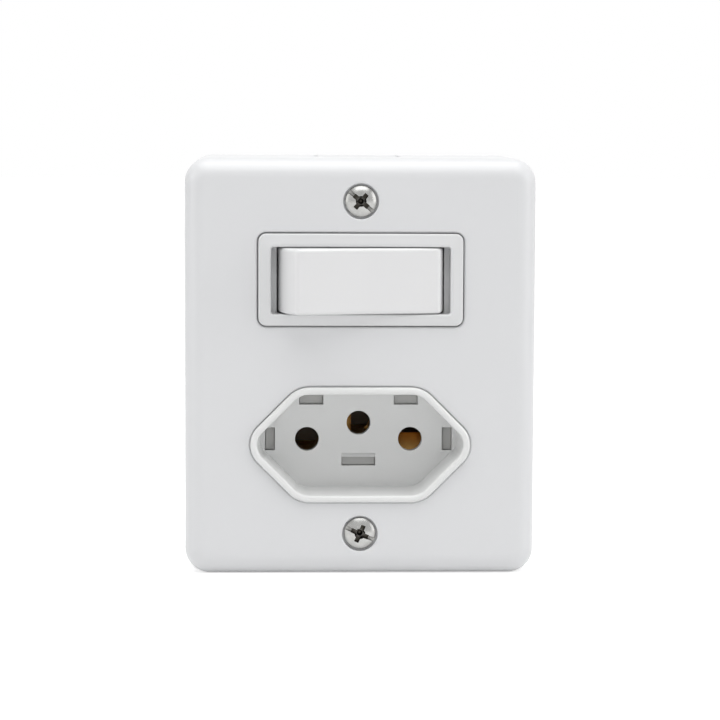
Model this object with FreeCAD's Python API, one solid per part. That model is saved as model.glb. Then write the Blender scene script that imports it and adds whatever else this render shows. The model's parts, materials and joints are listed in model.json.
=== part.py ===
# Surface-mounted box with a rocker switch above a recessed three-pin socket.
# X runs to the right, +Y towards the wall and +Z up. The origin is the middle
# of the face that lies on the wall, and the front of the object faces -Y.
# Lengths are millimetres and angles are degrees.
import FreeCAD, Part
import math
import os

# Box and cover
body_width = 63.5
plan_corner = 4.5
front_round = 3.5
wall = 2.0
floor_thickness = 2.5
wiring_depth = 3.5
inner_round = 1.5
cover_depth = 12.0
seam_gap = 0.15
tongue_height = 1.6
tongue_thickness = 0.9
tongue_clearance = 0.15
bezel_window_gap = 0.2
socket_window_gap = 0.08
window_edge_round = 0.25

# Openings in the back of the box
wall_slot_spacing = 40.0
wall_slot_width = 4.4
wall_slot_length = 8.0
cable_entry_width = 22.0
cable_entry_height = 13.0
cable_entry_corner = 3.0
cable_entry_drop = 1.9
knockout_width = 16.0
knockout_length = 13.0
knockout_centre_y = -12.5
knockout_skin = 0.9
knockout_corner = 1.5
knockout_groove_width = 0.7
knockout_groove_depth = 0.3

# Cover screws, their bosses and inserts
upper_screw_margin = 7.75
lower_screw_margin = 7.5
screw_to_bezel = 5.8
screw_to_socket = 5.8
screw_radius = 1.5
screw_length = 15.0
screw_point_chamfer = 0.5
screw_hole_clearance = 0.2
head_radius = 2.85
head_rise = 0.85
head_edge_height = 0.45
head_seat_depth = 0.95
head_recess_radius = 3.2
head_recess_round = 0.3
head_clearance = 0.05
slot_width = 0.7
slot_depth = 0.9
cross_width = 0.85
cross_span = 3.3
cross_depth = 1.7
cross_well_radius = 1.0
cross_well_end_radius = 0.25
upper_screw_angle = 40.0
lower_screw_angle = 24.0
cover_boss_radius = 3.6
box_boss_radius = 3.8
boss_joint_depth = 10.0
boss_joint_gap = 0.2
boss_web = 1.6
insert_radius = 2.5
insert_length = 6.0
insert_groove = 0.4
thread_clearance = 0.05
tip_space = 3.0

# Switch frame
bezel_side_border = 2.3
bezel_end_border = 2.25
bezel_corner = 1.4
bezel_rise = 0.8
bezel_slope_rise = 0.3
bezel_flat = 0.5
bezel_round = 0.3
opening_width = 32.3
opening_height = 12.1
opening_drop = 0.15
opening_corner = 0.45
opening_round = 0.3
shoulder_width = 1.0
shoulder_depth = 3.2
flange_width = 1.2
flange_thickness = 1.5
casing_wall = 1.6
casing_depth = 21.8

# Rocker
rocker_end_gap = 1.35
rocker_side_gap = 0.15
rocker_pivot_depth = 5.0
rocker_tilt = 10.5
rocker_facet = 4.0
rocker_end_inset = 1.6
rocker_pressed_drop = 0.0
rocker_skirt_height = -2.0
rocker_end_bulge = 0.75
rocker_end_round = 1.0
rocker_edge_round = 0.6
rocker_crease_half = 1.2
rocker_wall = 1.4
trunnion_radius = 1.5
trunnion_length = 1.0
trunnion_clearance = 0.05
trunnion_end_gap = 0.2
ear_radius = 2.6
stop_gap = 0.12
stop_ledge = 2.6
tube_radius = 2.8
tube_end = -2.0

# Plunger and spring
plunger_radius = 2.0
plunger_clearance = 0.05
plunger_top = 1.0
plunger_shoulder = -4.5
plunger_reach = 8.2
nose_radius = 1.5
spring_radius = 1.55
spring_wire_radius = 0.2
spring_wire_sides = 6
spring_turns = 4
spring_end_gap = 0.05

# See-saw contact
seesaw_gap = 0.06
seesaw_tilt = 5.5
seesaw_end_margin = 1.2
seesaw_width = 4.4
seesaw_thickness = 0.8
seesaw_pin_radius = 0.7
seesaw_pin_half = 3.3
seesaw_pin_clearance = 0.05
contact_to_terminal = 0.4
contact_tip_radius = 1.5
contact_tip_height = 0.8
contact_gap = 0.1

# Switch terminals
sheet = 0.8
cheek_half = 2.2
cheek_gap = 0.25
cheek_rise = 0.5
plug_depth = 2.0
plug_clearance = 0.15
back_plate_thickness = 1.6
tab_thickness = 1.0
tab_half_height = 3.5
terminal_side_gap = 2.25
feed_leg_half = 1.5
leg_clearance = 0.1
load_strip_half = 2.6
terminal_screw_radius = 1.5
terminal_screw_length = 5.0
terminal_head_radius = 2.7
terminal_head_height = 1.8
terminal_head_round = 0.6
terminal_slot_width = 0.8
terminal_slot_depth = 0.9
washer_side = 6.2
washer_thickness = 0.6

# Socket face
module_gap = 11.15
socket_height = 20.9
socket_corner_radius = 5.5
socket_tip_radius = 4.5
socket_rise = 1.0
socket_rim = 1.25
socket_rim_round = 0.55
recess_depth = 9.2
recess_draft = 0.35
socket_floor = 2.0
pin_spacing = 19.0
pin_side_margin = 10.4
earth_offset = 3.0
pin_hole_radius = 2.2
pin_length = 19.0
upper_slot_x = 8.7
upper_slot_margin = 3.25
upper_slot_width = 4.4
upper_slot_height = 1.7
side_slot_margin = 3.6
side_slot_width = 1.8
side_slot_height = 4.2
lower_slot_drop = 4.15
lower_slot_width = 6.2
lower_slot_height = 1.6
ramp_height = 0.7
ramp_depth = 0.45
hook_clearance = 0.1
hook_drop = 0.6

# Socket body and contacts
socket_body_inset = 1.0
socket_back_thickness = 1.6
chamber_half = 3.2
block_half = 3.0
block_top_drop = 2.6
block_margin = 2.55
block_length = 7.2
block_gap = 0.2
chamber_end_gap = 0.3
sleeve_radius = 2.5
sleeve_wall = 0.5
sleeve_length = 10.0
sleeve_gap = 0.2
sleeve_slit = 0.9
sleeve_root = 2.0
leaf_thickness = 0.4
leaf_depth = 0.4
leaf_side_gap = 0.15
line_slit_angle = 0.0
line_leaf_angle = -90.0
line_leaf_reach = 0.6
line_leaf_run = 2.4
neutral_slit_angle = 0.0
neutral_leaf_angle = 60.0
neutral_leaf_reach = -1.7
neutral_leaf_run = 4.0
earth_slit_angle = 45.0
earth_leaf_angle = 180.0
earth_leaf_reach = -1.3
earth_leaf_run = 1.0
neck_half = 2.0
neck_thickness = 0.6
wire_hole_radius = 1.3
wire_port_half = 1.8
clamp_screw_radius = 1.5
clamp_screw_length = 2.4
clamp_head_radius = 2.2
clamp_head_height = 1.5
access_clearance = 0.3

# Snap hooks of the cover
hook_width = 6.0
hook_thickness = 1.3
hook_side_gap = 0.15
hook_back_gap = 0.1
hook_nib = 0.8
hook_nib_height = 1.2
switch_hook_x = 11.0
socket_hook_x = 7.5

# Outer sizes of the pieces, their heights stacked from end to end and centred on the body
bezel_width = opening_width + 2 * bezel_side_border
bezel_height = opening_height + 2 * bezel_end_border
socket_width = pin_spacing + 2 * pin_side_margin
front_stack = bezel_height + module_gap + socket_height
screw_spacing = screw_to_bezel + front_stack + screw_to_socket
body_height = upper_screw_margin + screw_spacing + lower_screw_margin
upper_screw_z = body_height / 2 - upper_screw_margin
lower_screw_z = upper_screw_z - screw_spacing
bezel_z = upper_screw_z - screw_to_bezel - bezel_height / 2
switch_z = bezel_z - opening_drop
socket_z = lower_screw_z + screw_to_socket + socket_height / 2
cable_entry_z = switch_z - cable_entry_drop

# Depths and lengths worked out from the values above
body_depth = recess_depth + pin_length + block_gap + socket_back_thickness + wiring_depth + floor_thickness
plate_y = -body_depth
plate_back_y = plate_y + wall
split_y = plate_y + cover_depth
bezel_y = plate_y - bezel_rise
flange_back_y = plate_back_y + flange_thickness
pivot_y = bezel_y + rocker_pivot_depth
boss_joint_y = plate_y + boss_joint_depth
casing_back_y = bezel_y + casing_depth
plug_y = casing_back_y - plug_depth
back_plate_y = casing_back_y + back_plate_thickness
tab_back_y = back_plate_y + tab_thickness
socket_front_y = plate_y - socket_rise
recess_y = plate_y + recess_depth
body_front_y = recess_y + socket_floor
body_back_y = recess_y + pin_length + block_gap
socket_back_y = body_back_y + socket_back_thickness
block_back_y = body_back_y - block_gap
block_front_y = block_back_y - block_length
terminal_x = opening_width / 2 - stop_ledge - terminal_side_gap - washer_side / 2
contact_x = terminal_x - contact_to_terminal
seesaw_half_length = contact_x + seesaw_end_margin
rocker_half_width = opening_width / 2 - rocker_end_gap
rocker_half_height = opening_height / 2 - rocker_side_gap
rocker_face_half = rocker_half_width - rocker_end_inset
block_top_z = socket_z - block_top_drop
block_bottom_z = socket_z - socket_height / 2 + block_margin
tiny = 0.01
cut_margin = 1.0


def vector(x, y, z):
    return FreeCAD.Vector(x, y, z)


def block(x_low, x_high, y_low, y_high, z_low, z_high):
    """Box between two places along each axis."""
    return Part.makeBox(x_high - x_low, y_high - y_low, z_high - z_low, vector(x_low, y_low, z_low))


def rod_along_y(radius, y_front, y_back, x, z):
    return Part.makeCylinder(radius, y_back - y_front, vector(x, y_front, z), vector(0, 1, 0))


def rod_along_z(radius, z_low, z_high, x, y):
    return Part.makeCylinder(radius, z_high - z_low, vector(x, y, z_low), vector(0, 0, 1))


def cone_along_y(front_radius, back_radius, y_front, y_back, x, z):
    return Part.makeCone(front_radius, back_radius, y_back - y_front, vector(x, y_front, z), vector(0, 1, 0))


def rectangle(width, height, radius, z=0.0):
    """Corners of an upright rectangle, each as x, z and corner radius."""
    right = width / 2
    top = height / 2
    signs = [(1, 1), (-1, 1), (-1, -1), (1, -1)]
    return [(right * side, z + top * end, radius) for side, end in signs]


def hexagon(growth):
    """Corners of the socket's long hexagon with 45 degree slants, grown or shrunk all round."""
    half_height = socket_height / 2 + growth
    tip_radius = socket_tip_radius + growth
    corner_radius = socket_corner_radius + growth
    tip_x = socket_width / 2 + growth + tip_radius * (math.sqrt(2) - 1)
    corner_x = tip_x - half_height
    return [
        (tip_x, socket_z, tip_radius),
        (corner_x, socket_z + half_height, corner_radius),
        (-corner_x, socket_z + half_height, corner_radius),
        (-tip_x, socket_z, tip_radius),
        (-corner_x, socket_z - half_height, corner_radius),
        (corner_x, socket_z - half_height, corner_radius),
    ]


def outline(corners, y):
    """Closed wire at one depth, straight between corners that are rounded as arcs."""
    arcs = []
    for index, (x, z, radius) in enumerate(corners):
        before_x, before_z, _ = corners[index - 1]
        after_x, after_z, _ = corners[(index + 1) % len(corners)]
        here = vector(x, y, z)
        to_before = (vector(before_x, y, before_z) - here).normalize()
        to_after = (vector(after_x, y, after_z) - here).normalize()
        half_angle = to_before.getAngle(to_after) / 2
        run = radius / math.tan(half_angle)
        inward = (to_before + to_after).normalize()
        reach = radius / math.sin(half_angle) - radius
        arcs.append((here + to_before * run, here + inward * reach, here + to_after * run))
    edges = []
    for index, (start, middle, end) in enumerate(arcs):
        edges.append(Part.Arc(start, middle, end).toShape())
        next_start = arcs[(index + 1) % len(arcs)][0]
        edges.append(Part.LineSegment(end, next_start).toShape())
    return Part.Wire(edges)


def prism(corners, y_front, y_back):
    """Solid with a rounded outline between two depths."""
    return Part.Face(outline(corners, y_front)).extrude(vector(0, y_back - y_front, 0))


def tapered_prism(front_corners, back_corners, y_front, y_back):
    return Part.makeLoft([outline(front_corners, y_front), outline(back_corners, y_back)], True)


def edges_at_depth(shape, y):
    """Edges that lie flat at one depth."""
    found = []
    for edge in shape.Edges:
        bounds = edge.BoundBox
        if abs(bounds.YMin - y) < tiny and abs(bounds.YMax - y) < tiny:
            found.append(edge)
    return found


def union(*shapes):
    return shapes[0].fuse(list(shapes[1:])).removeSplitter()


def screw_places():
    """Height and drive angle of the two cover screws."""
    return [(upper_screw_z, upper_screw_angle), (lower_screw_z, lower_screw_angle)]


def chambers():
    """Sideways place and pin height of the line, neutral and earth chambers."""
    return {
        "line": (pin_spacing / 2, socket_z),
        "neutral": (-pin_spacing / 2, socket_z),
        "earth": (0.0, socket_z + earth_offset),
    }


def bezel_outline(growth):
    """Corners of the switch's bezel, grown all round."""
    return rectangle(
        bezel_width + 2 * growth, bezel_height + 2 * growth, bezel_corner + growth, bezel_z
    )


def opening_outline(growth):
    """Corners of the opening that the rocker moves in, grown all round."""
    return rectangle(
        opening_width + 2 * growth, opening_height + 2 * growth, opening_corner + growth, switch_z
    )


def floor_slots():
    """Centre and size of each slot in the socket's floor: x, z, width and height."""
    upper_z = socket_z + socket_height / 2 - upper_slot_margin
    side_x = socket_width / 2 - side_slot_margin
    return [
        (-upper_slot_x, upper_z, upper_slot_width, upper_slot_height),
        (upper_slot_x, upper_z, upper_slot_width, upper_slot_height),
        (-side_x, socket_z, side_slot_width, side_slot_height),
        (side_x, socket_z, side_slot_width, side_slot_height),
        (0.0, socket_z - lower_slot_drop, lower_slot_width, lower_slot_height),
    ]


# Cover


def snap_hook(x, edge_z, outward):
    """Hook behind the cover that holds the flange edge at edge_z. outward is +1 or -1 along Z."""
    inner = edge_z + outward * hook_side_gap
    outer = inner + outward * hook_thickness
    nib_tip = edge_z - outward * (hook_nib - hook_side_gap)
    nib_front = flange_back_y + hook_back_gap
    nib_back = nib_front + hook_nib_height
    profile = [
        vector(x - hook_width / 2, plate_back_y - tiny, inner),
        vector(x - hook_width / 2, plate_back_y - tiny, outer),
        vector(x - hook_width / 2, nib_back, outer),
        vector(x - hook_width / 2, nib_back, inner),
        vector(x - hook_width / 2, nib_front, nib_tip),
        vector(x - hook_width / 2, nib_front, inner),
    ]
    face = Part.Face(Part.makePolygon(profile + [profile[0]]))
    return face.extrude(vector(hook_width, 0, 0))


def cover_hooks():
    hooks = []
    switch_edge = bezel_height / 2 + flange_width
    socket_edge = socket_height / 2 + flange_width
    for side in (-1, 1):
        for outward in (-1, 1):
            hooks.append(snap_hook(side * switch_hook_x, bezel_z + outward * switch_edge, outward))
            hooks.append(snap_hook(side * socket_hook_x, socket_z + outward * socket_edge, outward))
    return hooks


def boss_web_block(z, y_front, y_back):
    """Web that ties a screw boss to the nearest end wall."""
    end_z = math.copysign(body_height / 2 - wall / 2, z)
    return block(-boss_web / 2, boss_web / 2, y_front, y_back, min(z, end_z), max(z, end_z))


def front_cover():
    outer = prism(rectangle(body_width, body_height, plan_corner), plate_y, split_y)
    outer = outer.makeFillet(front_round, edges_at_depth(outer, plate_y))
    inner_outline = rectangle(body_width - 2 * wall, body_height - 2 * wall, plan_corner - wall)
    hollow = prism(inner_outline, plate_back_y, split_y + cut_margin)
    hollow = hollow.makeFillet(inner_round, edges_at_depth(hollow, plate_back_y))
    rim_wall = wall - tongue_thickness - tongue_clearance
    rebate_outline = rectangle(
        body_width - 2 * rim_wall, body_height - 2 * rim_wall, plan_corner - rim_wall
    )
    rebate_y = split_y - tongue_height - tongue_clearance
    rebate = prism(rebate_outline, rebate_y, split_y + cut_margin)
    shell = outer.cut([hollow, rebate])
    windows = []
    for corners in (bezel_outline(bezel_window_gap), hexagon(socket_window_gap)):
        windows.append(prism(corners, plate_y - cut_margin, plate_back_y + cut_margin))
    shell = shell.cut(windows)
    shell = shell.makeChamfer(window_edge_round, window_edges(shell))
    additions = cover_hooks()
    boss_end_y = boss_joint_y - boss_joint_gap
    for z, _ in screw_places():
        additions.append(rod_along_y(cover_boss_radius, plate_back_y - tiny, boss_end_y, 0, z))
        additions.append(boss_web_block(z, plate_back_y - tiny, boss_end_y))
    shell = union(shell, *additions)
    hole_radius = screw_radius + screw_hole_clearance
    seat_y = plate_y + head_seat_depth
    seat_end_y = seat_y + head_radius - hole_radius
    for z, _ in screw_places():
        hole = rod_along_y(hole_radius, plate_y - cut_margin, boss_end_y + cut_margin, 0, z)
        seat = cone_along_y(head_radius, hole_radius, seat_y, seat_end_y, 0, z)
        recess = rod_along_y(head_recess_radius, plate_y - cut_margin, seat_y, 0, z)
        shell = shell.cut([hole, seat, recess])
    return shell.makeFillet(head_recess_round, screw_recess_edges(shell))


def screw_recess_edges(shell):
    """Front edge of the recess round each screw head."""
    found = []
    for edge in edges_at_depth(shell, plate_y):
        if abs(edge.BoundBox.XMax - head_recess_radius) < tiny:
            found.append(edge)
    return found


def window_edges(shell):
    """Front edges of the two windows, which lie well inside the cover's outer edge."""
    inside_x = body_width / 2 - front_round - tiny
    inside_z = body_height / 2 - front_round - tiny
    found = []
    for edge in edges_at_depth(shell, plate_y):
        bounds = edge.BoundBox
        within_x = max(abs(bounds.XMin), abs(bounds.XMax)) < inside_x
        within_z = max(abs(bounds.ZMin), abs(bounds.ZMax)) < inside_z
        if within_x and within_z:
            found.append(edge)
    return found


# Back box


def knockout(end):
    """Cuts that leave a thin breakable panel in the upper (+1) or lower (-1) wall."""
    outside = end * body_height / 2
    half_width = knockout_width / 2
    front = knockout_centre_y - knockout_length / 2
    back = knockout_centre_y + knockout_length / 2
    inner_face = end * (body_height / 2 - wall)
    skin_face = end * (body_height / 2 - knockout_skin)
    pocket_low = min(inner_face - end * tiny, skin_face)
    pocket_high = max(inner_face - end * tiny, skin_face)
    pocket = block(-half_width, half_width, front, back, pocket_low, pocket_high)
    pocket = pocket.makeFillet(knockout_corner, upright_edges(pocket))
    groove_face = outside - end * knockout_groove_depth
    groove_low = min(groove_face, outside + end * cut_margin)
    groove_high = max(groove_face, outside + end * cut_margin)
    ring = block(-half_width, half_width, front, back, groove_low, groove_high)
    ring = ring.makeFillet(knockout_corner, upright_edges(ring))
    inset = knockout_groove_width
    island = block(
        -half_width + inset, half_width - inset, front + inset, back - inset, groove_low, groove_high
    )
    island = island.makeFillet(knockout_corner - inset, upright_edges(island))
    return [pocket, ring.cut(island)]


def upright_edges(shape):
    """Straight edges that run along Z."""
    found = []
    for edge in shape.Edges:
        bounds = edge.BoundBox
        if bounds.XLength < tiny and bounds.YLength < tiny:
            found.append(edge)
    return found


def wall_slot(x):
    """Slot for a wall screw, lying along X."""
    radius = wall_slot_width / 2
    straight_half = wall_slot_length / 2 - radius
    front = -floor_thickness - cut_margin
    middle = block(x - straight_half, x + straight_half, front, cut_margin, -radius, radius)
    ends = [rod_along_y(radius, front, cut_margin, x + side * straight_half, 0) for side in (-1, 1)]
    return union(middle, *ends)


def back_box():
    front_y = split_y + seam_gap
    outer = prism(rectangle(body_width, body_height, plan_corner), front_y, 0)
    tongue_inset = wall - tongue_thickness
    tongue_outline = rectangle(
        body_width - 2 * tongue_inset, body_height - 2 * tongue_inset, plan_corner - tongue_inset
    )
    tongue = prism(tongue_outline, split_y - tongue_height, front_y)
    inner_outline = rectangle(body_width - 2 * wall, body_height - 2 * wall, plan_corner - wall)
    hollow = prism(inner_outline, split_y - tongue_height - cut_margin, -floor_thickness)
    tray = union(outer, tongue).cut(hollow)
    additions = []
    for z, _ in screw_places():
        additions.append(rod_along_y(box_boss_radius, boss_joint_y, -floor_thickness / 2, 0, z))
        additions.append(boss_web_block(z, split_y, -floor_thickness / 2))
    tray = union(tray, *additions)
    cuts = [wall_slot(-wall_slot_spacing / 2), wall_slot(wall_slot_spacing / 2)]
    entry = rectangle(cable_entry_width, cable_entry_height, cable_entry_corner, cable_entry_z)
    cuts.append(prism(entry, -floor_thickness - cut_margin, cut_margin))
    cuts += knockout(1) + knockout(-1)
    insert_end_y = boss_joint_y + insert_length
    tip_end_y = plate_y + screw_length + tip_space
    for z, _ in screw_places():
        cuts.append(rod_along_y(insert_radius, boss_joint_y - cut_margin, insert_end_y, 0, z))
        cuts.append(rod_along_y(screw_radius + screw_hole_clearance, boss_joint_y, tip_end_y, 0, z))
    return tray.cut(cuts)


def threaded_insert(z):
    end_y = boss_joint_y + insert_length
    body = rod_along_y(insert_radius, boss_joint_y, end_y, 0, z)
    bore_radius = screw_radius + thread_clearance
    bore = rod_along_y(bore_radius, boss_joint_y - cut_margin, end_y + cut_margin, 0, z)
    middle_y = boss_joint_y + insert_length / 2
    groove_front = middle_y - insert_groove
    groove_back = middle_y + insert_groove
    band = rod_along_y(insert_radius, groove_front, groove_back, 0, z)
    core = rod_along_y(insert_radius - insert_groove, groove_front, groove_back, 0, z)
    return body.cut([band.cut(core), bore])


def turned_bar(length, width, y_front, y_back, angle, z):
    """Bar across a screw head, turned so that its right end drops by angle."""
    bar = block(-length / 2, length / 2, y_front, y_back, z - width / 2, z + width / 2)
    return bar.rotate(vector(0, 0, z), vector(0, 1, 0), angle)


def cover_screw(z, angle):
    """Countersunk screw with a domed head and a drive that takes a flat or a cross blade."""
    seat_y = plate_y + head_seat_depth
    rim_y = seat_y - head_edge_height
    dome_y = rim_y - head_rise
    neck_y = seat_y + head_radius - screw_radius
    dome_radius = (head_radius ** 2 + head_rise ** 2) / (2 * head_rise)
    dome = Part.makeSphere(dome_radius, vector(0, dome_y + dome_radius, z))
    dome = dome.common(rod_along_y(head_radius, dome_y - cut_margin, rim_y, 0, z))
    back_shift = head_clearance * math.sqrt(2)
    edge = rod_along_y(head_radius, rim_y, seat_y, 0, z)
    cone = cone_along_y(head_radius, screw_radius, seat_y, neck_y, 0, z)
    shank = rod_along_y(screw_radius, neck_y - tiny, plate_y + screw_length, 0, z)
    point = shank.makeChamfer(screw_point_chamfer, edges_at_depth(shank, plate_y + screw_length))
    screw = union(dome, edge, cone, point)
    slot = turned_bar(2 * head_recess_radius, slot_width, dome_y - cut_margin, dome_y + slot_depth, angle, z)
    cross_y = dome_y + cross_depth
    arm = turned_bar(cross_span, cross_width, dome_y - cut_margin, cross_y, angle, z)
    other_arm = turned_bar(cross_span, cross_width, dome_y - cut_margin, cross_y, angle + 90, z)
    well = cone_along_y(cross_well_radius, cross_well_end_radius, dome_y, cross_y + cross_well_radius, 0, z)
    screw = screw.cut([slot, arm, other_arm, well])
    screw.translate(vector(0, -back_shift, 0))
    return screw


# Switch


def switch_frame():
    slope_y = bezel_y + bezel_slope_rise
    bezel = prism(bezel_outline(0.0), slope_y, flange_back_y)
    crown = tapered_prism(opening_outline(bezel_flat), bezel_outline(0.0), bezel_y, slope_y)
    bezel = union(bezel, crown)
    bezel = bezel.makeFillet(bezel_round, edges_at_depth(bezel, slope_y))
    flange = prism(bezel_outline(flange_width), plate_back_y, flange_back_y)
    casing = prism(opening_outline(casing_wall), flange_back_y - tiny, casing_back_y)
    opening = prism(opening_outline(0.0), bezel_y - cut_margin, bezel_y + shoulder_depth)
    middle = prism(inner_outline(shoulder_width), bezel_y + shoulder_depth - tiny, stop_y())
    inner = prism(inner_outline(stop_ledge), stop_y() - tiny, casing_back_y + cut_margin)
    frame = union(bezel, flange, casing).cut([opening, middle, inner])
    opening_edges = []
    for edge in edges_at_depth(frame, bezel_y):
        if edge.BoundBox.ZMax < switch_z + opening_height / 2 + tiny:
            if edge.BoundBox.ZMin > switch_z - opening_height / 2 - tiny:
                if max(abs(edge.BoundBox.XMin), abs(edge.BoundBox.XMax)) < opening_width / 2 + tiny:
                    opening_edges.append(edge)
    frame = frame.makeFillet(opening_round, opening_edges)
    bearing_reach = rocker_half_height + trunnion_length + trunnion_end_gap
    bearing_radius = trunnion_radius + trunnion_clearance
    bearing = rod_along_z(bearing_radius, switch_z - bearing_reach, switch_z + bearing_reach, 0, pivot_y)
    return frame.cut(bearing)


def inner_outline(ledge):
    """Corners of the opening behind a ledge at each end."""
    return rectangle(opening_width - 2 * ledge, opening_height, opening_corner, switch_z)


def stop_y():
    """Depth of the ledge that the pressed end of the rocker lands on."""
    tilt = math.radians(rocker_tilt)
    corner_drop = rocker_half_width * math.sin(tilt) - rocker_skirt_height * math.cos(tilt)
    return pivot_y + corner_drop + stop_gap


def rocker_centre_height():
    """Height of the rocker's crease above its pivot; the pressed end is then level with the bezel."""
    tilt = math.radians(rocker_tilt)
    lift = rocker_pivot_depth - rocker_pressed_drop + rocker_face_half * math.sin(tilt)
    edge_height = lift / math.cos(tilt)
    return edge_height - rocker_face_half * math.tan(math.radians(rocker_facet))


def rocker_edge_height():
    return rocker_centre_height() + rocker_face_half * math.tan(math.radians(rocker_facet))


def rocker_point(across, height, z):
    """Point of the untilted rocker, across and above its pivot."""
    return vector(across, pivot_y - height, z)


def rocker_outside():
    """Concave face with a soft crease, and ends that slope outwards to the skirt with a slight bulge."""
    low_z = switch_z - rocker_half_height
    slope = math.tan(math.radians(rocker_facet))
    centre = rocker_centre_height()
    edge = rocker_edge_height()
    crease_end = centre + rocker_crease_half * slope
    crease_middle = centre + rocker_crease_half * slope / 2
    middle_across = (rocker_face_half + rocker_half_width) / 2 + rocker_end_bulge
    middle_height = (edge + rocker_skirt_height) / 2
    edges = []
    for side in (-1, 1):
        crease = rocker_point(side * rocker_crease_half, crease_end, low_z)
        corner = rocker_point(side * rocker_face_half, edge, low_z)
        middle = rocker_point(side * middle_across, middle_height, low_z)
        skirt = rocker_point(side * rocker_half_width, rocker_skirt_height, low_z)
        edges.append(Part.LineSegment(crease, corner).toShape())
        edges.append(Part.Arc(corner, middle, skirt).toShape())
    left_skirt = rocker_point(-rocker_half_width, rocker_skirt_height, low_z)
    right_skirt = rocker_point(rocker_half_width, rocker_skirt_height, low_z)
    edges.append(Part.LineSegment(left_skirt, right_skirt).toShape())
    left_crease = rocker_point(-rocker_crease_half, crease_end, low_z)
    right_crease = rocker_point(rocker_crease_half, crease_end, low_z)
    edges.append(Part.Arc(left_crease, rocker_point(0, crease_middle, low_z), right_crease).toShape())
    profile = Part.Wire(Part.__sortEdges__(edges))
    solid = Part.Face(profile).extrude(vector(0, 0, 2 * rocker_half_height))
    corner_edges = []
    for candidate in upright_edges(solid):
        centre_point = candidate.CenterOfMass
        at_face_end = abs(abs(centre_point.x) - rocker_face_half) < tiny
        if at_face_end and abs(pivot_y - edge - centre_point.y) < tiny:
            corner_edges.append(candidate)
    solid = solid.makeFillet(rocker_end_round, corner_edges)
    rim_edges = []
    for candidate in solid.Edges:
        bounds = candidate.BoundBox
        on_side = bounds.ZLength < tiny and bounds.YMin < pivot_y - rocker_skirt_height - tiny
        if on_side:
            rim_edges.append(candidate)
    return solid.makeFillet(rocker_edge_round, rim_edges)


def rocker_hollow():
    """Space inside the rocker, open at the back."""
    centre = rocker_centre_height() - rocker_wall
    edge = rocker_edge_height() - rocker_wall - rocker_end_round / 2
    half_face = rocker_face_half - rocker_wall
    half_width = rocker_half_width - rocker_wall
    low_z = switch_z - rocker_half_height + rocker_wall
    below = rocker_skirt_height - cut_margin
    points = [
        rocker_point(-half_width, below, low_z),
        rocker_point(-half_width, rocker_skirt_height, low_z),
        rocker_point(-half_face, edge, low_z),
        rocker_point(0, centre, low_z),
        rocker_point(half_face, edge, low_z),
        rocker_point(half_width, rocker_skirt_height, low_z),
        rocker_point(half_width, below, low_z),
    ]
    face = Part.Face(Part.makePolygon(points + [points[0]]))
    return face.extrude(vector(0, 0, 2 * (rocker_half_height - rocker_wall)))


def rocker():
    inner_height = rocker_centre_height() - rocker_wall
    shell = rocker_outside().cut(rocker_hollow())
    tube = rod_along_y(tube_radius, pivot_y - inner_height - tiny, pivot_y - tube_end, 0, switch_z)
    additions = [tube]
    for side in (-1, 1):
        outer_z = switch_z + side * rocker_half_height
        inner_z = outer_z - side * rocker_wall
        stub_z = outer_z + side * trunnion_length
        additions.append(rod_along_z(ear_radius, min(outer_z, inner_z), max(outer_z, inner_z), 0, pivot_y))
        additions.append(rod_along_z(trunnion_radius, min(inner_z, stub_z), max(inner_z, stub_z), 0, pivot_y))
    bore = rod_along_y(
        plunger_radius + plunger_clearance,
        pivot_y - inner_height,
        pivot_y - tube_end + cut_margin,
        0,
        switch_z,
    )
    return with_rocker(union(shell, *additions).cut(bore))


def with_rocker(shape):
    """Turns a piece of the rocker about its pivot into the resting pose, left end out."""
    return shape.rotate(vector(0, pivot_y, switch_z), vector(0, 0, 1), rocker_tilt)


def plunger():
    top_y = pivot_y - plunger_top
    shoulder_y = pivot_y - plunger_shoulder
    nose_y = pivot_y + plunger_reach - nose_radius
    shank = rod_along_y(plunger_radius, top_y, shoulder_y, 0, switch_z)
    stem = rod_along_y(nose_radius, shoulder_y - tiny, nose_y, 0, switch_z)
    nose = Part.makeSphere(nose_radius, vector(0, nose_y, switch_z))
    return with_rocker(union(shank, stem, nose))


def plunger_spring():
    """Coil between the rocker's face and the plunger, inside the rocker's tube."""
    low_y = pivot_y - rocker_centre_height() + rocker_wall + spring_wire_radius + spring_end_gap
    high_y = pivot_y - plunger_top - spring_wire_radius - spring_end_gap
    height = high_y - low_y
    helix = Part.makeHelix(height / spring_turns, height, spring_radius)
    points = []
    for index in range(spring_wire_sides):
        angle = 2 * math.pi * index / spring_wire_sides
        across = spring_radius + spring_wire_radius * math.cos(angle)
        points.append(vector(across, 0, spring_wire_radius * math.sin(angle)))
    section = Part.makePolygon(points + [points[0]])
    coil = Part.Wire(helix).makePipeShell([section], True, True)
    coil.rotate(vector(0, 0, 0), vector(1, 0, 0), -90)
    coil.translate(vector(0, low_y, switch_z))
    return with_rocker(coil)


def seesaw_axis_y():
    """Depth of the see-saw's pin, set by the plunger's reach when the rocker is level."""
    return pivot_y + plunger_reach + seesaw_gap + seesaw_thickness


def with_seesaw(shape):
    """Turns a piece of the see-saw about its pin into the resting pose, left end back."""
    return shape.rotate(vector(0, seesaw_axis_y(), switch_z), vector(0, 0, 1), -seesaw_tilt)


def seesaw_contact():
    axis_y = seesaw_axis_y()
    half_width = seesaw_width / 2
    strip = block(
        -seesaw_half_length,
        seesaw_half_length,
        axis_y - seesaw_thickness,
        axis_y,
        switch_z - half_width,
        switch_z + half_width,
    )
    pin = rod_along_z(seesaw_pin_radius, switch_z - seesaw_pin_half, switch_z + seesaw_pin_half, 0, axis_y)
    return with_seesaw(union(strip, pin))


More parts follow.
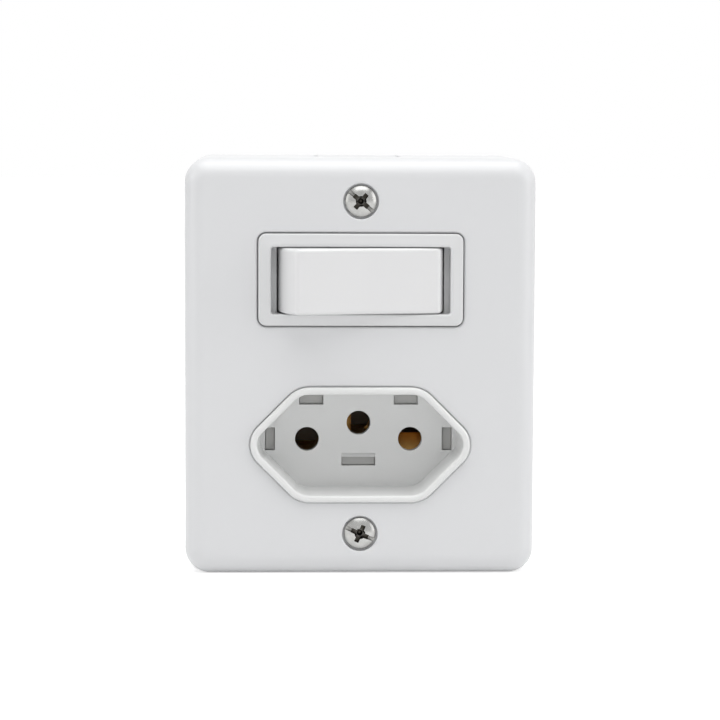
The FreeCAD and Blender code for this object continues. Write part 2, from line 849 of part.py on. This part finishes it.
def moving_contact_tip():
    axis_y = seesaw_axis_y()
    tip = rod_along_y(contact_tip_radius, axis_y, axis_y + contact_tip_height, contact_x, switch_z)
    return with_seesaw(tip)


def fixed_contact_y():
    """Depth of the fixed contact's front, which the moving one almost reaches."""
    tilt = math.radians(seesaw_tilt)
    outer_x = contact_x + contact_tip_radius
    reach = outer_x * math.sin(tilt) + contact_tip_height * math.cos(tilt)
    return seesaw_axis_y() + reach + contact_gap


def fixed_contact_tip():
    front = fixed_contact_y()
    return rod_along_y(contact_tip_radius, front, front + contact_tip_height, contact_x, switch_z)


def switch_tab(x_low, x_high):
    """Flat terminal tab on the back of the switch."""
    low_z = switch_z - tab_half_height
    return block(x_low, x_high, back_plate_y, tab_back_y, low_z, switch_z + tab_half_height)


def terminal_thread(x):
    radius = terminal_screw_radius + thread_clearance
    return rod_along_y(radius, back_plate_y - cut_margin, tab_back_y + cut_margin, x, switch_z)


def feed_terminal():
    """Cradle for the see-saw, with a leg through the back plate to its tab."""
    axis_y = seesaw_axis_y()
    cheek_inner = seesaw_width / 2 + cheek_gap
    cheek_outer = cheek_inner + sheet
    base_y = plug_y - sheet
    parts = [block(-cheek_half, cheek_half, base_y, plug_y, switch_z - cheek_outer, switch_z + cheek_outer)]
    for side in (-1, 1):
        low_z = min(side * cheek_inner, side * cheek_outer)
        high_z = max(side * cheek_inner, side * cheek_outer)
        cheek = block(
            -cheek_half, cheek_half, axis_y - cheek_rise, plug_y, switch_z + low_z, switch_z + high_z
        )
        parts.append(cheek)
    leg = block(
        -feed_leg_half, feed_leg_half, plug_y - sheet, tab_back_y, switch_z - sheet / 2, switch_z + sheet / 2
    )
    parts.append(leg)
    tab_end = -terminal_x - washer_side / 2
    parts.append(switch_tab(tab_end, feed_leg_half))
    terminal = union(*parts)
    notch_radius = seesaw_pin_radius + seesaw_pin_clearance
    notch = rod_along_z(notch_radius, switch_z - cheek_outer, switch_z + cheek_outer, 0, axis_y)
    mouth = block(
        -notch_radius,
        notch_radius,
        axis_y - cheek_rise - cut_margin,
        axis_y,
        switch_z - cheek_outer,
        switch_z + cheek_outer,
    )
    return terminal.cut([notch, mouth, terminal_thread(-terminal_x)])


def load_terminal():
    """Strip under the fixed contact, with a leg through the back plate to its tab."""
    strip_y = fixed_contact_y() + contact_tip_height
    inner_x = contact_x - load_strip_half
    outer_x = terminal_x + washer_side / 2
    low_z = switch_z - load_strip_half
    high_z = switch_z + load_strip_half
    strip = block(inner_x, outer_x, strip_y, strip_y + sheet, low_z, high_z)
    leg = block(outer_x - sheet, outer_x, strip_y, tab_back_y, low_z, high_z)
    tab = switch_tab(terminal_x - washer_side / 2, outer_x)
    return union(strip, leg, tab).cut(terminal_thread(terminal_x))


def switch_back():
    """Back plate of the switch with a plug that fits the casing and a stop for the see-saw."""
    plate = prism(opening_outline(casing_wall), casing_back_y, back_plate_y)
    plug_width = opening_width - 2 * stop_ledge - 2 * plug_clearance
    plug_height = opening_height - 2 * plug_clearance
    plug = prism(rectangle(plug_width, plug_height, opening_corner, switch_z), plug_y, casing_back_y)
    tilt = math.radians(seesaw_tilt)
    stop_front = seesaw_axis_y() + (contact_x + sheet) * math.sin(tilt) + contact_gap
    stop = block(
        -contact_x - sheet,
        -contact_x + sheet,
        stop_front,
        plug_y + tiny,
        switch_z - seesaw_width / 2,
        switch_z + seesaw_width / 2,
    )
    body = union(plate, plug, stop)
    feed_slot = block(
        -feed_leg_half - leg_clearance,
        feed_leg_half + leg_clearance,
        plug_y - cut_margin,
        back_plate_y + cut_margin,
        switch_z - sheet / 2 - leg_clearance,
        switch_z + sheet / 2 + leg_clearance,
    )
    load_outer = terminal_x + washer_side / 2
    load_slot = block(
        load_outer - sheet - leg_clearance,
        load_outer + leg_clearance,
        plug_y - cut_margin,
        back_plate_y + cut_margin,
        switch_z - load_strip_half - leg_clearance,
        switch_z + load_strip_half + leg_clearance,
    )
    cuts = [feed_slot, load_slot]
    screw_end_y = tab_back_y + washer_thickness - terminal_screw_length
    for side in (-1, 1):
        cuts.append(
            rod_along_y(
                terminal_screw_radius + screw_hole_clearance,
                screw_end_y - screw_hole_clearance,
                back_plate_y + cut_margin,
                side * terminal_x,
                switch_z,
            )
        )
    return body.cut(cuts)


def clamp_washer(x):
    """Square washer that grips the wire under the screw head."""
    half = washer_side / 2
    seat_y = tab_back_y + washer_thickness
    plate = block(x - half, x + half, tab_back_y, seat_y, switch_z - half, switch_z + half)
    hole = rod_along_y(
        terminal_screw_radius + screw_hole_clearance,
        tab_back_y - cut_margin,
        seat_y + cut_margin,
        x,
        switch_z,
    )
    return plate.cut(hole)


def terminal_screw(x):
    seat_y = tab_back_y + washer_thickness
    head = rod_along_y(terminal_head_radius, seat_y, seat_y + terminal_head_height, x, switch_z)
    head = head.makeFillet(terminal_head_round, edges_at_depth(head, seat_y + terminal_head_height))
    shank = rod_along_y(terminal_screw_radius, seat_y - terminal_screw_length, seat_y + tiny, x, switch_z)
    slot = block(
        x - terminal_slot_width / 2,
        x + terminal_slot_width / 2,
        seat_y + terminal_head_height - terminal_slot_depth,
        seat_y + terminal_head_height + cut_margin,
        switch_z - terminal_head_radius - cut_margin,
        switch_z + terminal_head_radius + cut_margin,
    )
    return union(head, shank).cut(slot)


# Socket


def socket_face():
    tube = prism(hexagon(0.0), socket_front_y, body_front_y)
    tube = tube.makeFillet(socket_rim_round, edges_at_depth(tube, socket_front_y))
    flange = prism(hexagon(flange_width), plate_back_y, flange_back_y)
    body = union(tube, flange)
    recess = tapered_prism(
        hexagon(-socket_rim),
        hexagon(-socket_rim - recess_draft),
        socket_front_y,
        recess_y,
    )
    body = body.cut(recess)
    rim_edges = []
    inside = socket_width / 2 - socket_rim + tiny
    for edge in edges_at_depth(body, socket_front_y):
        bounds = edge.BoundBox
        reach_x = max(abs(bounds.XMin), abs(bounds.XMax))
        reach_z = max(abs(bounds.ZMin - socket_z), abs(bounds.ZMax - socket_z))
        if reach_x < inside and reach_z < socket_height / 2 - socket_rim + tiny:
            rim_edges.append(edge)
    body = body.makeFillet(socket_rim_round, rim_edges)
    cuts = []
    for x, z in chambers().values():
        cuts.append(rod_along_y(pin_hole_radius, recess_y - cut_margin, body_front_y + cut_margin, x, z))
    for x, z, width, height in floor_slots():
        cuts.append(
            block(
                x - width / 2,
                x + width / 2,
                recess_y - cut_margin,
                body_front_y + cut_margin,
                z - height / 2,
                z + height / 2,
            )
        )
    return body.cut(cuts + [release_ramp()])


def release_ramp():
    """Sloped cut above the lower slot that leads a blade to the hook behind it."""
    low_z = socket_z - lower_slot_drop + lower_slot_height / 2
    left = -lower_slot_width / 2
    profile = [
        vector(left, recess_y - tiny, low_z - tiny),
        vector(left, recess_y - tiny, low_z + ramp_height),
        vector(left, recess_y + ramp_depth, low_z + ramp_height),
        vector(left, recess_y + tiny, low_z - tiny),
    ]
    return Part.Face(Part.makePolygon(profile + [profile[0]])).extrude(vector(lower_slot_width, 0, 0))


def socket_body():
    """Insulating block with a chamber for each contact and hooks that fill the floor slots."""
    outline_corners = hexagon(-socket_body_inset)
    body = prism(outline_corners, body_front_y, body_back_y)
    hooks = []
    for x, z, width, height in floor_slots():
        half_width = width / 2 - hook_clearance
        half_height = height / 2 - hook_clearance
        hooks.append(
            block(
                x - half_width,
                x + half_width,
                recess_y + hook_drop,
                body_front_y + tiny,
                z - half_height,
                z + half_height,
            )
        )
    body = union(body, *hooks)
    cuts = []
    terminal_low = block_bottom_z - block_gap
    wire_y = block_back_y - block_length / 2
    for x, z in chambers().values():
        cuts.append(
            block(
                x - chamber_half,
                x + chamber_half,
                body_front_y - cut_margin,
                body_back_y + cut_margin,
                z - chamber_half,
                z + chamber_half,
            )
        )
        cuts.append(
            block(
                x - chamber_half,
                x + chamber_half,
                block_front_y - chamber_end_gap,
                body_back_y + cut_margin,
                terminal_low,
                z,
            )
        )
        cuts.append(
            block(
                x - wire_port_half,
                x + wire_port_half,
                wire_y - wire_port_half,
                wire_y + wire_port_half,
                socket_z - socket_height / 2,
                terminal_low + tiny,
            )
        )
    return body.cut(cuts)


def socket_back():
    plate = prism(hexagon(-socket_body_inset), body_back_y, socket_back_y)
    access = []
    for x, _ in chambers().values():
        access.append(
            rod_along_y(
                clamp_head_radius + access_clearance,
                body_back_y - cut_margin,
                socket_back_y + cut_margin,
                x,
                clamp_z(),
            )
        )
    return plate.cut(access)


def clamp_z():
    """Height of the clamping screws, level with the middle of the terminal blocks."""
    return (block_top_z + block_bottom_z) / 2


def spring_leaf(x, z, root_angle, reach, run):
    """Leaf that slopes into the sleeve from its wall at root_angle, for a pin to push aside."""
    front_y = body_front_y + sleeve_gap
    back_y = front_y + sleeve_length
    root_y = front_y + leaf_depth
    root = sleeve_radius + sleeve_wall / 2
    profile = [
        vector(root, root_y, -sleeve_radius),
        vector(-reach, root_y + run, -sleeve_radius),
        vector(-reach, root_y + run + leaf_thickness, -sleeve_radius),
        vector(root, root_y + leaf_thickness, -sleeve_radius),
    ]
    plate = Part.Face(Part.makePolygon(profile + [profile[0]])).extrude(vector(0, 0, 2 * sleeve_radius))
    free = plate.common(rod_along_y(sleeve_radius - leaf_side_gap, front_y, back_y, 0, 0))
    root_block = block(sleeve_radius - 2 * sleeve_wall, root, front_y, back_y, -sleeve_wall, sleeve_wall)
    leaf = union(free, plate.common(root_block))
    leaf.rotate(vector(0, 0, 0), vector(0, 1, 0), -root_angle)
    leaf.translate(vector(x, 0, z))
    return leaf


def pin_contact(x, z, slit_angle, root_angle, leaf_reach, leaf_run):
    """Split brass sleeve with a spring leaf, on a neck that ends in a drilled terminal block."""
    front_y = body_front_y + sleeve_gap
    back_y = front_y + sleeve_length
    outer_radius = sleeve_radius + sleeve_wall
    sleeve = rod_along_y(outer_radius, front_y, back_y, x, z)
    bore = rod_along_y(sleeve_radius, front_y - cut_margin, back_y + cut_margin, x, z)
    slit = block(
        x - outer_radius - cut_margin,
        x + outer_radius + cut_margin,
        front_y - cut_margin,
        back_y - sleeve_root,
        z - sleeve_slit / 2,
        z + sleeve_slit / 2,
    )
    slit.rotate(vector(x, 0, z), vector(0, 1, 0), slit_angle)
    sleeve = sleeve.cut([bore, slit])
    neck_top = z - sleeve_radius
    neck_bottom = neck_top - neck_thickness
    neck = block(x - neck_half, x + neck_half, back_y - sleeve_root, block_back_y, neck_bottom, neck_top)
    neck = neck.cut(bore)
    drop = block(
        x - neck_half,
        x + neck_half,
        block_back_y - sheet,
        block_back_y,
        min(block_top_z, neck_bottom) - tiny,
        neck_top,
    )
    terminal = block(
        x - block_half, x + block_half, block_front_y, block_back_y, block_bottom_z, block_top_z
    )
    wire_y = block_back_y - block_length / 2
    wire_hole = rod_along_z(wire_hole_radius, block_bottom_z - cut_margin, block_top_z - sheet, x, wire_y)
    thread = rod_along_y(
        clamp_screw_radius + thread_clearance, wire_y, block_back_y + cut_margin, x, clamp_z()
    )
    leaf = spring_leaf(x, z, root_angle, leaf_reach, leaf_run)
    return union(sleeve, leaf, neck, drop, terminal).cut([wire_hole, thread])


def clamp_screw(x):
    """Screw that presses the wire down in a terminal block."""
    seat_y = block_back_y
    head = rod_along_y(clamp_head_radius, seat_y, seat_y + clamp_head_height, x, clamp_z())
    shank = rod_along_y(clamp_screw_radius, seat_y - clamp_screw_length, seat_y + tiny, x, clamp_z())
    slot = block(
        x - clamp_head_radius - cut_margin,
        x + clamp_head_radius + cut_margin,
        seat_y + clamp_head_height - terminal_slot_depth,
        seat_y + clamp_head_height + cut_margin,
        clamp_z() - terminal_slot_width / 2,
        clamp_z() + terminal_slot_width / 2,
    )
    return union(head, shank).cut(slot)


def all_parts():
    upper_z, upper_angle = screw_places()[0]
    lower_z, lower_angle = screw_places()[1]
    parts = {
        "front_cover": front_cover(),
        "back_box": back_box(),
        "cover_screw_upper": cover_screw(upper_z, upper_angle),
        "cover_screw_lower": cover_screw(lower_z, lower_angle),
        "threaded_insert_upper": threaded_insert(upper_z),
        "threaded_insert_lower": threaded_insert(lower_z),
        "switch_frame": switch_frame(),
        "switch_back": switch_back(),
        "rocker": rocker(),
        "plunger": plunger(),
        "plunger_spring": plunger_spring(),
        "seesaw_contact": seesaw_contact(),
        "moving_contact_tip": moving_contact_tip(),
        "fixed_contact_tip": fixed_contact_tip(),
        "feed_terminal": feed_terminal(),
        "load_terminal": load_terminal(),
        "feed_clamp_washer": clamp_washer(-terminal_x),
        "load_clamp_washer": clamp_washer(terminal_x),
        "feed_screw": terminal_screw(-terminal_x),
        "load_screw": terminal_screw(terminal_x),
        "socket_face": socket_face(),
        "socket_body": socket_body(),
        "socket_back": socket_back(),
    }
    contact_forms = {
        "line": (line_slit_angle, line_leaf_angle, line_leaf_reach, line_leaf_run),
        "neutral": (neutral_slit_angle, neutral_leaf_angle, neutral_leaf_reach, neutral_leaf_run),
        "earth": (earth_slit_angle, earth_leaf_angle, earth_leaf_reach, earth_leaf_run),
    }
    for name, (x, z) in chambers().items():
        parts[name + "_contact"] = pin_contact(x, z, *contact_forms[name])
        parts[name + "_screw"] = clamp_screw(x)
    return parts


os.makedirs("parts", exist_ok=True)
for node, solid in all_parts().items():
    solid.exportStep("parts/" + node + ".step")
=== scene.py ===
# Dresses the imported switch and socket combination: camera, studio, materials and fine detail.
# Places are metres in the frame of the model: X right, +Y towards the wall, +Z up.
import json
import math

import bpy
from mathutils import Matrix, Vector

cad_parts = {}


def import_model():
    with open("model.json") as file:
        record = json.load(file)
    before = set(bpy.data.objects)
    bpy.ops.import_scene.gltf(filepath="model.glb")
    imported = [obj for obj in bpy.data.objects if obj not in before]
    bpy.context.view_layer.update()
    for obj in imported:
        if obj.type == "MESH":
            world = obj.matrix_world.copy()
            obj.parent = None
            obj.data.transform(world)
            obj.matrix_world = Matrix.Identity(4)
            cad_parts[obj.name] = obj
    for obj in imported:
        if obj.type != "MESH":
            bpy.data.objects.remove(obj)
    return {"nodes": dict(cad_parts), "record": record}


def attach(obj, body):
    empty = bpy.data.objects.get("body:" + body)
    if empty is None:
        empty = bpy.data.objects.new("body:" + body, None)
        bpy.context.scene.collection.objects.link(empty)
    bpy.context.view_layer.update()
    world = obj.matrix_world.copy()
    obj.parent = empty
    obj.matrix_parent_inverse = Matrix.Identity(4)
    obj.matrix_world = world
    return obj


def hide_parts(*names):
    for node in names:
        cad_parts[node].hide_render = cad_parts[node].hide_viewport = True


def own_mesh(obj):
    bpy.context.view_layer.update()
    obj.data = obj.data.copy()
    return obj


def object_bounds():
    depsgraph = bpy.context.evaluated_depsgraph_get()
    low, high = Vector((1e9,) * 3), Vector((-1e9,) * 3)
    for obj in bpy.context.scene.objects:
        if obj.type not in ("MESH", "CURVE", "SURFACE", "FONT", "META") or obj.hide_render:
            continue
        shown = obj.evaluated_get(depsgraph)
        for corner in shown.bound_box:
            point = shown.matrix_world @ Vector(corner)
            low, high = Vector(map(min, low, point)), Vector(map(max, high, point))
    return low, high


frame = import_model()

cad_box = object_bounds()
MM = 0.001
WHITE = (1.0, 1.0, 1.0, 1.0)

# Camera, found by fitting the photograph's outline, screws and pin holes
CAMERA_AZIMUTH = -2.1
CAMERA_ELEVATION = 5.1
CAMERA_ROLL = 0.22
CAMERA_DISTANCE = 500.0 * MM
CAMERA_LENS = 138.5
CAMERA_SENSOR = 36.0
CAMERA_AIM = Vector((-0.1, -36.0, 1.4)) * MM

# Plunger spring, placed along the plunger's slide from the rocker's pivot
SPRING_PLUNGER_END = 1.08 * MM
SPRING_FIXED_END = 5.13 * MM
SPRING_RADIUS = 1.55 * MM
SPRING_WIRE_RADIUS = 0.2 * MM
SPRING_WIRE_SIDES = 12
SPRING_OPEN_TURNS = 3
SPRING_CLOSED_PITCH = 2.1 * SPRING_WIRE_RADIUS
SPRING_STEPS = 36

# Lamps: name, place, width, height and power in watts
WORLD_LIGHT = 0.25
LAMP_TARGET = Vector((0.0, -0.02, 0.0))
SOFTBOXES = [
    ("top_softbox", (0.0, -0.10, 0.80), 0.90, 0.60, 5.4),
    ("high_front_softbox", (0.05, -0.60, 0.80), 0.90, 0.25, 2.0),
    ("left_softbox", (-0.90, -0.35, 0.20), 0.60, 0.70, 2.7),
    ("right_softbox", (0.90, -0.35, 0.25), 0.60, 0.70, 3.15),
    ("front_softbox", (0.15, -1.20, 0.15), 0.70, 0.70, 0.3),
]

# Floor. Its glow, which only the camera sees, grows from near to far as the lamps fade.
FLOOR_SIZE = 6.0
FLOOR_GAP = 0.02 * MM
FLOOR_COLOUR = 0.88
FLOOR_ROUGHNESS = 0.9
FLOOR_GLOW = 0.58
FAR_FLOOR_GLOW = 0.90
FLOOR_GLOW_START = 0.25
FLOOR_GLOW_END = 2.0

# Plastic: marks in each metre, what share they change, depth of relief and rounding of edges
FLOW_SCALE = 45.0
FLOW_DETAIL = 3.0
FLOW_CHANGE = 0.015
GLOSS_SCALE = 260.0
GLOSS_CHANGE = 0.15
PEEL_SCALE = 2600.0
PEEL_DEPTH = 0.004 * MM
PLASTIC_EDGE = 0.12 * MM

# Metal: the same, and how closed in a face must be for its painted shade to be full
METAL_DETAIL = 4.0
CLOUD_SCALE = 700.0
STREAK_SCALE = 1500.0
STREAK_CHANGE = 0.3
STREAK_DEPTH = 0.006 * MM
METAL_EDGE = 0.08 * MM
FULL_SHADE_UP_TO = 0.35

EDGE_SAMPLES = 4
OPENNESS_SAMPLES = 8


def link(obj):
    bpy.context.scene.collection.objects.link(obj)
    return obj


def mesh_object(name, vertices, faces):
    mesh = bpy.data.meshes.new(name)
    mesh.from_pydata(vertices, [], faces)
    mesh.update()
    return link(bpy.data.objects.new(name, mesh))


# Node helpers


def add_node(tree, kind, **values):
    node = tree.nodes.new(kind)
    for name, value in values.items():
        setattr(node, name, value)
    return node


def object_coordinates(tree):
    return add_node(tree, "ShaderNodeTexCoord").outputs["Object"]


def noise(tree, coordinates, scale, detail=2.0):
    """Noise with about scale features in each metre."""
    node = add_node(tree, "ShaderNodeTexNoise")
    node.inputs["Scale"].default_value = scale
    node.inputs["Detail"].default_value = detail
    tree.links.new(coordinates, node.inputs["Vector"])
    return node.outputs["Fac"]


def mapped(tree, value, start, end, low=0.0, high=1.0):
    """Maps a value from the range start to end onto the range low to high."""
    node = add_node(tree, "ShaderNodeMapRange")
    node.inputs["From Min"].default_value = start
    node.inputs["From Max"].default_value = end
    node.inputs["To Min"].default_value = low
    node.inputs["To Max"].default_value = high
    tree.links.new(value, node.inputs["Value"])
    return node.outputs["Result"]


def varied(tree, factor, middle, share):
    """Varies a value by a share of itself either way, as noise goes from 0 to 1."""
    return mapped(tree, factor, 0.0, 1.0, middle * (1.0 - share), middle * (1.0 + share))


def mixed_colour(tree, factor, first, second):
    """Mixes two colours. The second may also be another node's output."""
    node = add_node(tree, "ShaderNodeMix", data_type="RGBA")
    node.inputs["A"].default_value = (*first, 1.0)
    if isinstance(second, tuple):
        node.inputs["B"].default_value = (*second, 1.0)
    else:
        tree.links.new(second, node.inputs["B"])
    tree.links.new(factor, node.inputs["Factor"])
    return node.outputs["Result"]


def soft_edges(tree, radius):
    """Normal that rounds sharp edges by radius."""
    node = add_node(tree, "ShaderNodeBevel", samples=EDGE_SAMPLES)
    node.inputs["Radius"].default_value = radius
    return node.outputs["Normal"]


def bump(tree, height, distance, normal):
    node = add_node(tree, "ShaderNodeBump")
    node.inputs["Strength"].default_value = 1.0
    node.inputs["Distance"].default_value = distance
    tree.links.new(height, node.inputs["Height"])
    tree.links.new(normal, node.inputs["Normal"])
    return node.outputs["Normal"]


def openness(tree, reach):
    """Falls from 1 on an open face towards 0 down in a slot or corner."""
    node = add_node(tree, "ShaderNodeAmbientOcclusion", samples=OPENNESS_SAMPLES)
    node.inputs["Distance"].default_value = reach
    return node.outputs["AO"]


def start_material(name):
    material = bpy.data.materials.new(name)
    material.use_nodes = True
    tree = material.node_tree
    return material, tree, tree.nodes["Principled BSDF"]


def shaded(colour, factor):
    return tuple(channel * factor for channel in colour)


# Materials


def moulded_plastic(name, colour, roughness):
    """Injection-moulded plastic: faint flow marks in tone and gloss, and a fine orange peel."""
    material, tree, shader = start_material(name)
    coordinates = object_coordinates(tree)
    flow = noise(tree, coordinates, FLOW_SCALE, FLOW_DETAIL)
    tone = mixed_colour(tree, flow, shaded(colour, 1.0 - FLOW_CHANGE), shaded(colour, 1.0 + FLOW_CHANGE))
    gloss = varied(tree, noise(tree, coordinates, GLOSS_SCALE), roughness, GLOSS_CHANGE)
    peel = noise(tree, coordinates, PEEL_SCALE)
    normal = bump(tree, peel, PEEL_DEPTH, soft_edges(tree, PLASTIC_EDGE))
    tree.links.new(tone, shader.inputs["Base Color"])
    tree.links.new(gloss, shader.inputs["Roughness"])
    tree.links.new(normal, shader.inputs["Normal"])
    return material


def plated_metal(name, colour, dark, roughness, painted_shade, reach, unshaded_from):
    """Plated or stamped metal: cloudy tone, fine scratches, and shade painted into the colour of recesses.

    Reach is how far a wall darkens its foot with painted shade, and unshaded_from is how open a face must be
    to get no painted shade.
    """
    material, tree, shader = start_material(name)
    coordinates = object_coordinates(tree)
    clouds = noise(tree, coordinates, CLOUD_SCALE, METAL_DETAIL)
    # Painted shade: faces closed in by walls within reach turn towards the painted shade colour
    unshaded = mapped(tree, openness(tree, reach), FULL_SHADE_UP_TO, unshaded_from)
    tone = mixed_colour(tree, unshaded, painted_shade, mixed_colour(tree, clouds, dark, colour))
    streaks = noise(tree, coordinates, STREAK_SCALE, METAL_DETAIL)
    gloss = varied(tree, streaks, roughness, STREAK_CHANGE)
    normal = bump(tree, streaks, STREAK_DEPTH, soft_edges(tree, METAL_EDGE))
    tree.links.new(tone, shader.inputs["Base Color"])
    tree.links.new(gloss, shader.inputs["Roughness"])
    tree.links.new(normal, shader.inputs["Normal"])
    shader.inputs["Metallic"].default_value = 1.0
    return material


# Name, colour and roughness
PLASTICS = [
    ("cover_plastic", (0.69, 0.695, 0.705), 0.33),
    ("box_plastic", (0.69, 0.695, 0.70), 0.36),
    ("rocker_plastic", (0.74, 0.74, 0.745), 0.22),
    ("insert_plastic", (0.74, 0.745, 0.74), 0.33),
    ("frame_plastic", (0.68, 0.685, 0.69), 0.33),
    ("inner_plastic", (0.42, 0.42, 0.41), 0.45),
    ("plunger_nylon", (0.72, 0.70, 0.64), 0.45),
]

# Name, bright colour, dark colour, roughness, colour of painted shade in recesses, reach and unshaded_from
METALS = [
    ("plated_steel", (0.47, 0.47, 0.46), (0.29, 0.29, 0.28), 0.24, (0.030, 0.027, 0.022), 2.4 * MM, 0.95),
    ("brass", (0.70, 0.42, 0.14), (0.54, 0.31, 0.095), 0.38, (0.27, 0.15, 0.045), 0.3 * MM, 0.85),
    ("contact_silver", (0.80, 0.79, 0.76), (0.66, 0.65, 0.62), 0.35, (0.30, 0.29, 0.27), 0.3 * MM, 0.85),
    ("spring_steel", (0.46, 0.46, 0.47), (0.34, 0.34, 0.35), 0.23, (0.10, 0.10, 0.10), 0.3 * MM, 0.85),
]


def all_materials():
    materials = {values[0]: moulded_plastic(*values) for values in PLASTICS}
    materials.update((values[0], plated_metal(*values)) for values in METALS)
    return materials


def dress_nodes():
    """The switch frame is a shade darker than the socket face, which shares its slot."""
    materials = all_materials()
    for subpart in frame["record"]["subparts"]:
        node = subpart["node"]
        look = "frame_plastic" if node == "switch_frame" else subpart["material_slot"]
        for slot in frame["nodes"][node].material_slots:
            slot.material = materials[look]


# Plunger spring


def coil_rise(turn, open_pitch):
    """Height of the coil's middle line after so many turns. The first and last turns are closed."""
    closed_turns = min(turn, 1.0) + max(turn - 1.0 - SPRING_OPEN_TURNS, 0.0)
    open_turns = min(max(turn - 1.0, 0.0), SPRING_OPEN_TURNS)
    return closed_turns * SPRING_CLOSED_PITCH + open_turns * open_pitch


def tube_faces(steps, sides):
    faces = []
    for step in range(steps):
        near = step * sides
        far = near + sides
        for side in range(sides):
            other = (side + 1) % sides
            faces.append((near + side, near + other, far + other, far + side))
    faces.append(tuple(reversed(range(sides))))
    faces.append(tuple(range(steps * sides, (steps + 1) * sides)))
    return faces


def plunger_spring():
    """Coiled wire spring in the rocker's tube, built at one fixed length."""
    joints = {joint["name"]: joint for joint in frame["record"]["behaviour"]["joints"]}
    pivot = Vector(joints["rocker_tilt"]["pos_m"])
    slide = joints["plunger_slide"]
    outwards = Vector(slide["axis"]).normalized()
    up = Vector((0.0, 0.0, 1.0))
    sideways = outwards.cross(up)
    length = SPRING_FIXED_END - SPRING_PLUNGER_END
    open_pitch = (length - 2.0 * SPRING_WIRE_RADIUS - 2.0 * SPRING_CLOSED_PITCH) / SPRING_OPEN_TURNS
    start = pivot + outwards * (SPRING_PLUNGER_END + SPRING_WIRE_RADIUS)
    steps = (SPRING_OPEN_TURNS + 2) * SPRING_STEPS
    vertices = []
    for step in range(steps + 1):
        turn = step / SPRING_STEPS
        radial = sideways * math.cos(turn * math.tau) + up * math.sin(turn * math.tau)
        centre = start + outwards * coil_rise(turn, open_pitch) + radial * SPRING_RADIUS
        for side in range(SPRING_WIRE_SIDES):
            angle = side / SPRING_WIRE_SIDES * math.tau
            offset = radial * math.cos(angle) + outwards * math.sin(angle)
            vertices.append(centre + offset * SPRING_WIRE_RADIUS)
    coil = mesh_object("coiled_spring", vertices, tube_faces(steps, SPRING_WIRE_SIDES))
    for polygon in coil.data.polygons:
        polygon.use_smooth = True
    # The frame's own plain steel, because the coil is out of sight in the tube
    coil.data.materials.append(bpy.data.materials["spring_steel"])
    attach(coil, "rocker")
    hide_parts("plunger_spring")
    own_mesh(coil)


# Studio


def combined(tree, operation, first, second):
    node = add_node(tree, "ShaderNodeMath", operation=operation)
    tree.links.new(first, node.inputs[0])
    tree.links.new(second, node.inputs[1])
    return node.outputs["Value"]


def seen_directly(tree):
    """1 where the camera sees it, also in a reflection or through glass, and 0 for its light."""
    path = add_node(tree, "ShaderNodeLightPath").outputs
    seen = combined(tree, "MAXIMUM", path["Is Camera Ray"], path["Is Glossy Ray"])
    return combined(tree, "MAXIMUM", seen, path["Is Transmission Ray"])


def white_background(tree, background, strength):
    background.inputs["Color"].default_value = WHITE
    background.inputs["Strength"].default_value = strength
    return background.outputs["Background"]


def world():
    """Soft light from all round, which shows as plain white to the camera and in reflections."""
    studio = bpy.data.worlds.new("studio")
    studio.use_nodes = True
    tree = studio.node_tree
    mix = add_node(tree, "ShaderNodeMixShader")
    light = white_background(tree, tree.nodes["Background"], WORLD_LIGHT)
    shown = white_background(tree, add_node(tree, "ShaderNodeBackground"), 1.0)
    tree.links.new(seen_directly(tree), mix.inputs["Fac"])
    tree.links.new(light, mix.inputs[1])
    tree.links.new(shown, mix.inputs[2])
    tree.links.new(mix.outputs["Shader"], tree.nodes["World Output"].inputs["Surface"])
    bpy.context.scene.world = studio


def floor():
    """White floor that keeps the object's shadow and otherwise shows as plain white."""
    half = FLOOR_SIZE / 2
    height = cad_box[0][2] - FLOOR_GAP
    corners = [(-half, -half, height), (half, -half, height), (half, half, height), (-half, half, height)]
    plane = mesh_object("floor", corners, [(0, 1, 2, 3)])
    material, tree, shader = start_material("floor")
    shader.inputs["Base Color"].default_value = (FLOOR_COLOUR, FLOOR_COLOUR, FLOOR_COLOUR, 1.0)
    shader.inputs["Roughness"].default_value = FLOOR_ROUGHNESS
    shader.inputs["Specular IOR Level"].default_value = 0.0
    shader.inputs["Emission Color"].default_value = WHITE
    distance = add_node(tree, "ShaderNodeVectorMath", operation="LENGTH")
    tree.links.new(object_coordinates(tree), distance.inputs[0])
    glow = mapped(
        tree, distance.outputs["Value"], FLOOR_GLOW_START, FLOOR_GLOW_END, FLOOR_GLOW, FAR_FLOOR_GLOW
    )
    tree.links.new(combined(tree, "MULTIPLY", seen_directly(tree), glow), shader.inputs["Emission Strength"])
    plane.data.materials.append(material)


def aimed(obj, place, target):
    """Puts a lamp or camera at a place and turns it to look at a target."""
    obj.location = place
    obj.rotation_euler = (target - place).to_track_quat("-Z", "Y").to_euler()


def softbox(name, place, width, height, power):
    data = bpy.data.lights.new(name, "AREA")
    data.shape = "RECTANGLE"
    data.size = width
    data.size_y = height
    data.energy = power
    aimed(link(bpy.data.objects.new(name, data)), Vector(place), LAMP_TARGET)


def lamps():
    for values in SOFTBOXES:
        softbox(*values)


def camera():
    azimuth = math.radians(CAMERA_AZIMUTH)
    elevation = math.radians(CAMERA_ELEVATION)
    away = Vector(
        (
            math.sin(azimuth) * math.cos(elevation),
            -math.cos(azimuth) * math.cos(elevation),
            math.sin(elevation),
        )
    )
    data = bpy.data.cameras.new("camera")
    data.lens = CAMERA_LENS
    data.sensor_width = CAMERA_SENSOR
    obj = link(bpy.data.objects.new("camera", data))
    aimed(obj, CAMERA_AIM + away * CAMERA_DISTANCE, CAMERA_AIM)
    obj.matrix_world = obj.matrix_basis @ Matrix.Rotation(math.radians(CAMERA_ROLL), 4, "Z")
    bpy.context.scene.camera = obj


def view_settings():
    bpy.context.scene.view_settings.view_transform = "Standard"


view_settings()
camera()
world()
lamps()
floor()
dress_nodes()
plunger_spring()
